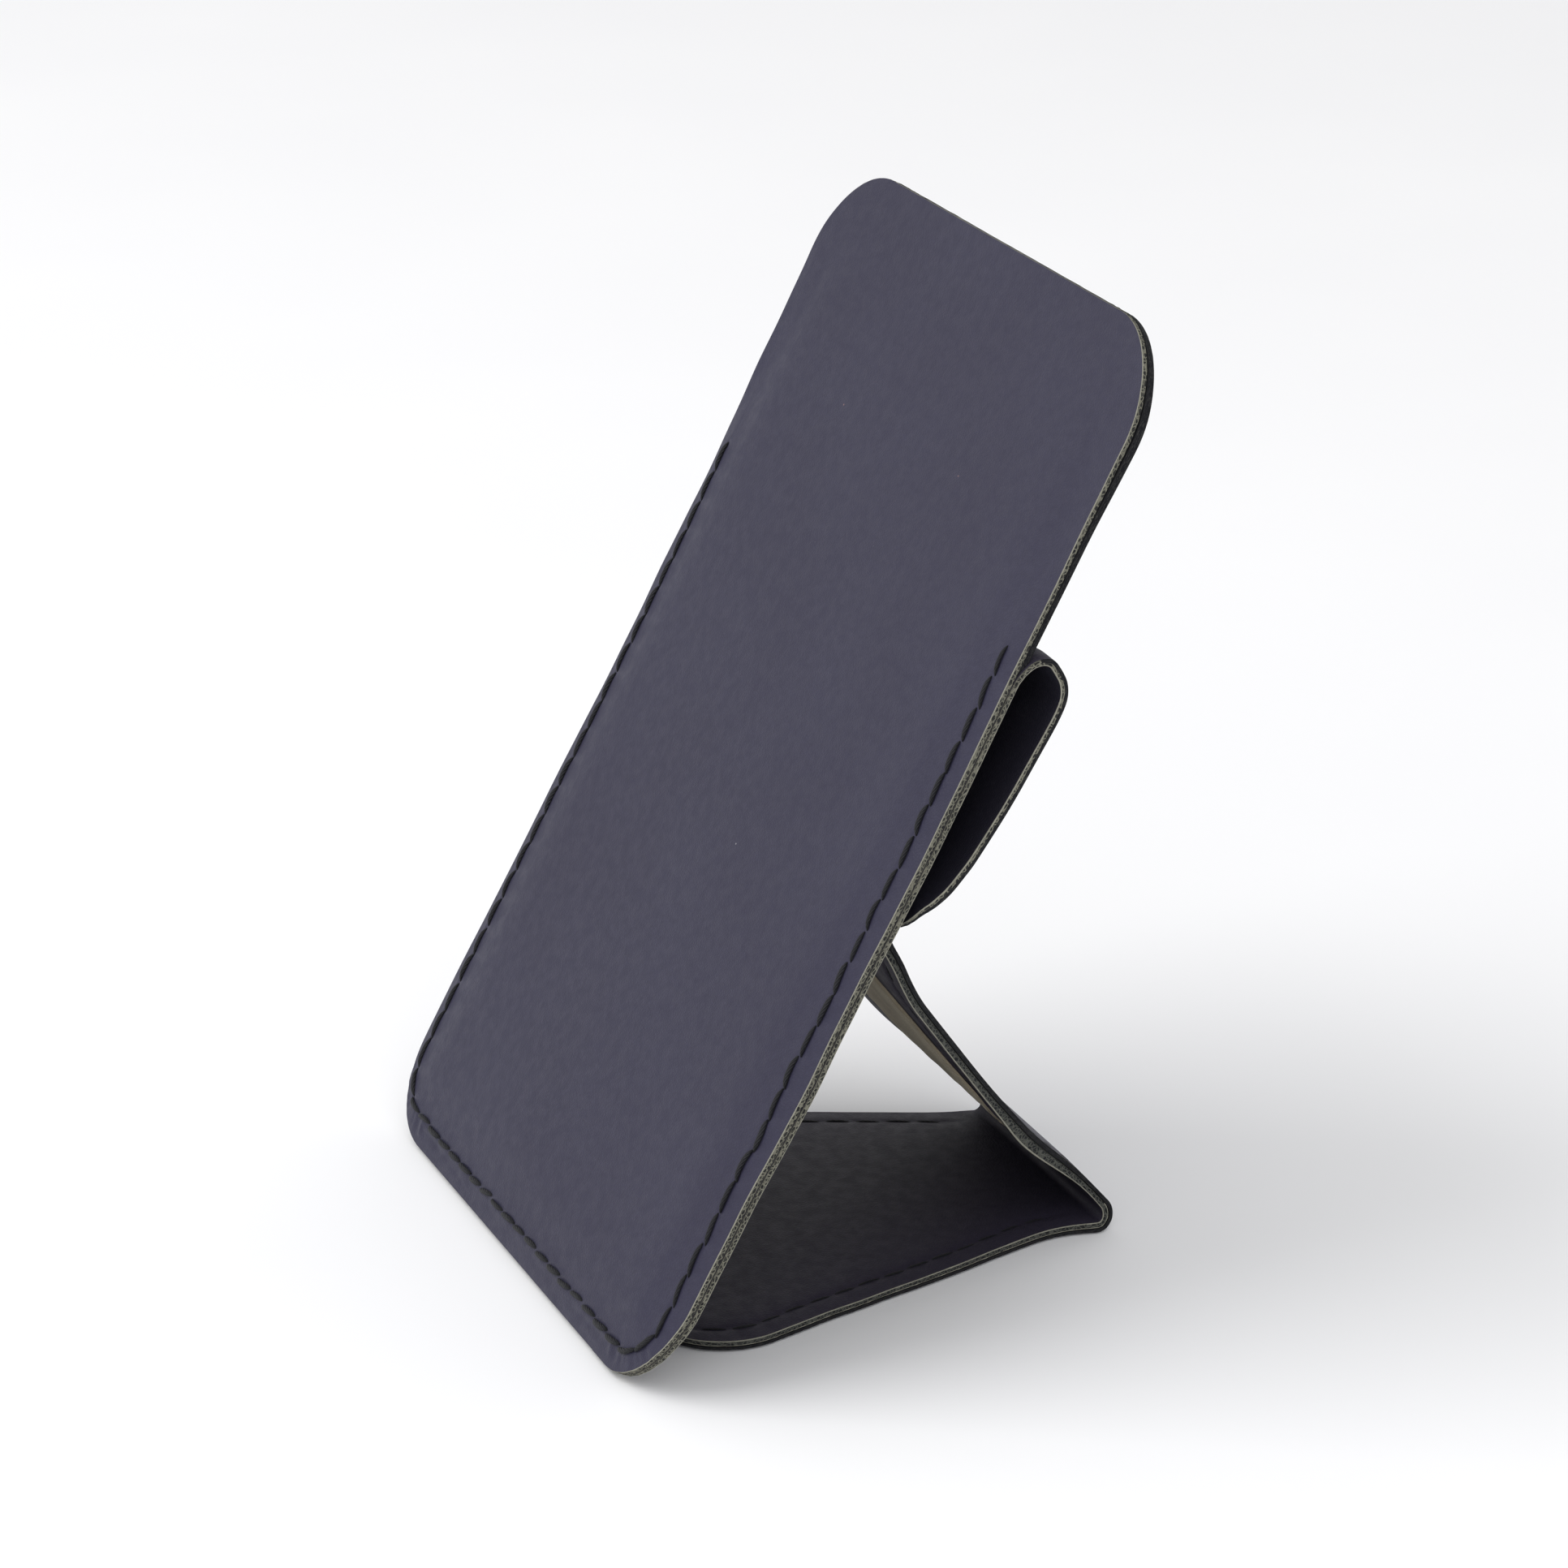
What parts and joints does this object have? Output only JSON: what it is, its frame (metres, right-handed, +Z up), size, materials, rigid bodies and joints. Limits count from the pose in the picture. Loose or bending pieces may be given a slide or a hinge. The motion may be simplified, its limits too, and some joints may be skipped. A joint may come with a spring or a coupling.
{
  "type": "stand pouch for a pocket organiser",
  "caption": "Slim sewn leather pouch for a pocket organiser, with a belt loop and a folding waisted leg on its back that props it up at a reading angle.",
  "frame": {"origin": "on the table, in the middle of the standing pouch's footprint", "axes": "+X across the pouch, to the right of someone facing its front; the front faces -Y and leans back; +Z is up"},
  "size_m": [0.092, 0.0716, 0.1201],
  "materials": {
    "leather": "satin, fine grain",
    "lining": "matt",
    "suede": "napped",
    "board": "pressed fibre board",
    "thread": "waxed thread"
  },
  "bodies": {
    "pouch": {"front_panel": "leather", "front_board": "board", "front_lining": "lining", "pocket_panel": "leather", "belt_loop": "leather", "needle_thread": "thread", "bobbin_thread": "thread", "foot_thread": "thread", "root_fold": "leather"},
    "brace": {"brace_leather": "leather", "brace_board": "board", "brace_lining": "lining", "brace_pad": "suede", "brace_thread": "thread"},
    "base": {"base_leather": "leather", "base_board": "board", "base_lining": "lining", "base_thread": "thread", "neck_leather": "leather", "neck_lining": "lining"}
  },
  "joints": [
    {"name": "brace_hinge", "type": "hinge", "parent": "pouch", "child": "brace", "pos_m": [0, -0.00365, 0.05151], "axis": [-1, 0, 0], "range_deg": [0, 55], "deforming": ["root_fold"]},
    {"name": "neck_fold", "type": "hinge", "parent": "brace", "child": "base", "pos_m": [0, 0.03493, 0.00166], "axis": [1, 0, 0], "range_deg": [0, 110], "deforming": ["neck_leather", "neck_lining"]}
  ],
  "couplings": [
    {"joint": "neck_fold", "follows": "brace_hinge", "ratio": 2}
  ]
}
